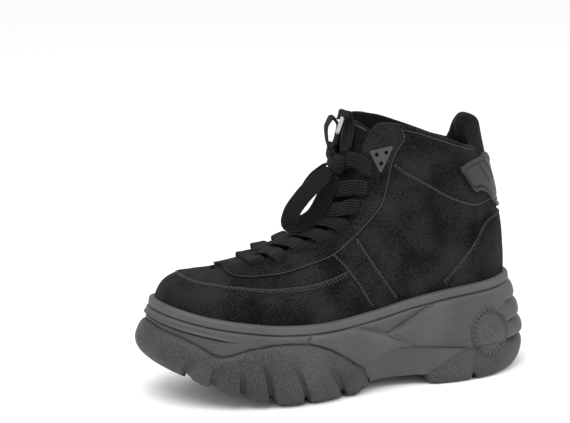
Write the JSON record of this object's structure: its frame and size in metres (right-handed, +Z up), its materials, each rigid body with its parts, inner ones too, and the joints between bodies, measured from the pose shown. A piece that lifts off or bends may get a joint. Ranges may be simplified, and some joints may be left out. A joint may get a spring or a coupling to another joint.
{
  "type": "platform boot",
  "caption": "Left lace-up platform boot: black suede ankle-high upper with padded collar and heel tab on a thick lugged grey rubber sole, flat laces tied in a bow.",
  "frame": {"origin": "centre of the bounding box on the ground, laces' free ends left out", "axes": "toe towards -X, heel towards +X, outer side towards -Y, +Z up"},
  "size_m": [0.2947, 0.108, 0.1967],
  "materials": {
    "black_suede": "matt napped suede",
    "black_lining": "matt knitted lining",
    "black_insole": "matt cloth",
    "grey_rim_rubber": "satin",
    "grey_smooth_rubber": "satin",
    "grey_tread_rubber": "grained matt",
    "grey_trim_rubber": "satin",
    "black_lace": "ribbed cotton",
    "clear_lace_tip": "gloss"
  },
  "bodies": {
    "root": {"outsole_front": "grey_tread_rubber", "outsole_heel": "grey_tread_rubber", "midsole": "grey_smooth_rubber", "welt": "grey_rim_rubber", "insole": "black_insole", "upper": "black_suede", "toe_guard": "black_suede", "lace_stay": "black_suede", "side_band_outer": "black_suede", "side_band_inner": "black_suede", "heel_counter": "black_suede", "heel_patch": "grey_trim_rubber", "lace_plate_outer": "grey_trim_rubber", "lace_plate_inner": "grey_trim_rubber", "roundel_outer": "grey_smooth_rubber", "roundel_inner": "grey_smooth_rubber", "tongue": "black_lining", "lace_crossings": "black_lace", "lace_knot": "black_lace", "lace_loop_front": "black_lace", "lace_loop_top": "black_lace", "lace_end_top": "black_lace", "lace_end_low": "black_lace", "aglet_top": "clear_lace_tip", "aglet_low": "clear_lace_tip"}
  },
  "joints": []
}
